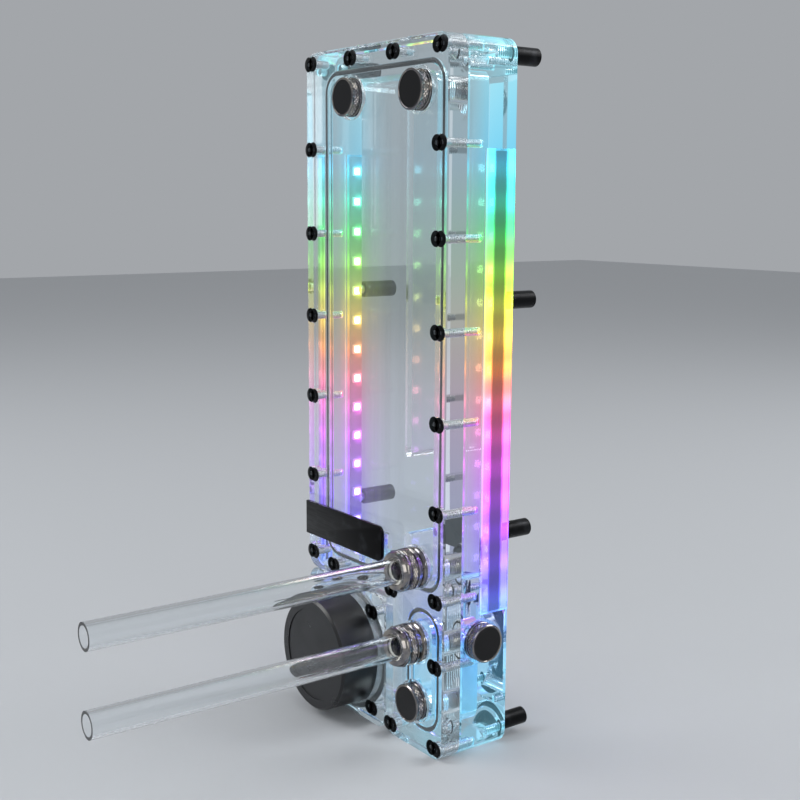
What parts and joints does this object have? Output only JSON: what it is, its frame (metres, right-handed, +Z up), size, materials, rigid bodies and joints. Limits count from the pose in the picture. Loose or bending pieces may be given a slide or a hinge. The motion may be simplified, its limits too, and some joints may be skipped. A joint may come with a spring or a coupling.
{
  "type": "coolant pump reservoir",
  "caption": "Clear acrylic distribution plate with a milled reservoir, a built-in centrifugal pump, plugged ports, push-fit tube fittings and side lighting, hung on standoffs.",
  "frame": {"origin": "centre of the rectangle of the eight standoffs, on the plane where their free ends rest on the fans", "axes": "+Y back through the standoffs into what carries the plate, -Y the front where the ports and the pump are, +Z up, +X right"},
  "size_m": [0.13, 0.2386, 0.36],
  "materials": {
    "clear_acrylic": "polished clear acrylic",
    "seal_cord": "matt black",
    "black_screw": "black oxide",
    "black_standoff": "satin black",
    "black_anodised": "satin black anodised",
    "dark_nickel": "polished dark nickel",
    "clear_tube": "clear polished",
    "grip": "natural",
    "pump_black": "matt black",
    "steel": "drawn",
    "ball_ceramic": "polished",
    "core_steel": "laminated",
    "copper_wire": "enamelled",
    "board": "solder mask",
    "impeller_white": "moulded",
    "magnet": "sintered",
    "strip_white": "white flexible board",
    "lamp": "lit, a rainbow from cyan at the top to blue at the bottom"
  },
  "bodies": {
    "plate": {"front_cover": "clear_acrylic", "pump_plate": "clear_acrylic", "reservoir_block": "clear_acrylic", "reservoir_seal": "seal_cord", "port_seal": "seal_cord", "cover_screws": "black_screw", "pump_plate_screws": "black_screw", "standoffs": "black_standoff", "name_strip": "black_anodised", "upper_fitting_body": "dark_nickel", "upper_fitting_seals": "seal_cord", "upper_grip_ring": "grip", "lower_fitting_body": "dark_nickel", "lower_fitting_seals": "seal_cord", "lower_grip_ring": "grip", "upper_tube": "clear_tube", "lower_tube": "clear_tube", "pump_can": "pump_black", "pump_end_cap": "pump_black", "pump_seal": "seal_cord", "rotor_cup": "steel", "bearing_post": "steel", "bearing_ball": "ball_ceramic", "stator": "core_steel", "windings": "copper_wire", "control_board": "board", "cable_grommet": "seal_cord", "left_light_strip": "strip_white", "right_light_strip": "strip_white", "left_lamps": "lamp", "right_lamps": "lamp"},
    "rotor": {"impeller": "impeller_white", "rotor_magnet": "magnet"},
    "top_left_plug": {"top_left_plug": "dark_nickel", "top_left_plug_seal": "seal_cord"},
    "top_right_plug": {"top_right_plug": "dark_nickel", "top_right_plug_seal": "seal_cord"},
    "drain_plug": {"drain_plug": "dark_nickel", "drain_plug_seal": "seal_cord"},
    "side_plug": {"side_plug": "dark_nickel", "side_plug_seal": "seal_cord"},
    "upper_collar": {"upper_fitting_collar": "dark_nickel"},
    "lower_collar": {"lower_fitting_collar": "dark_nickel"}
  },
  "joints": [
    {"name": "rotor_spin", "type": "hinge", "parent": "plate", "child": "rotor", "pos_m": [-0.0261, -0.0505, -0.1442], "axis": [0, -1, 0], "continuous": true},
    {"name": "top_left_plug_unscrew", "type": "slide", "parent": "plate", "child": "top_left_plug", "axis": [0, -1, 0], "range_m": [0, 0.0075]},
    {"name": "top_right_plug_unscrew", "type": "slide", "parent": "plate", "child": "top_right_plug", "axis": [0, -1, 0], "range_m": [0, 0.0075]},
    {"name": "drain_plug_unscrew", "type": "slide", "parent": "plate", "child": "drain_plug", "axis": [0, -1, 0], "range_m": [0, 0.0075]},
    {"name": "side_plug_unscrew", "type": "slide", "parent": "plate", "child": "side_plug", "axis": [1, 0, 0], "range_m": [0, 0.0075]},
    {"name": "upper_collar_unscrew", "type": "slide", "parent": "plate", "child": "upper_collar", "axis": [0, -1, 0], "range_m": [0, 0.03]},
    {"name": "lower_collar_unscrew", "type": "slide", "parent": "plate", "child": "lower_collar", "axis": [0, -1, 0], "range_m": [0, 0.03]}
  ]
}
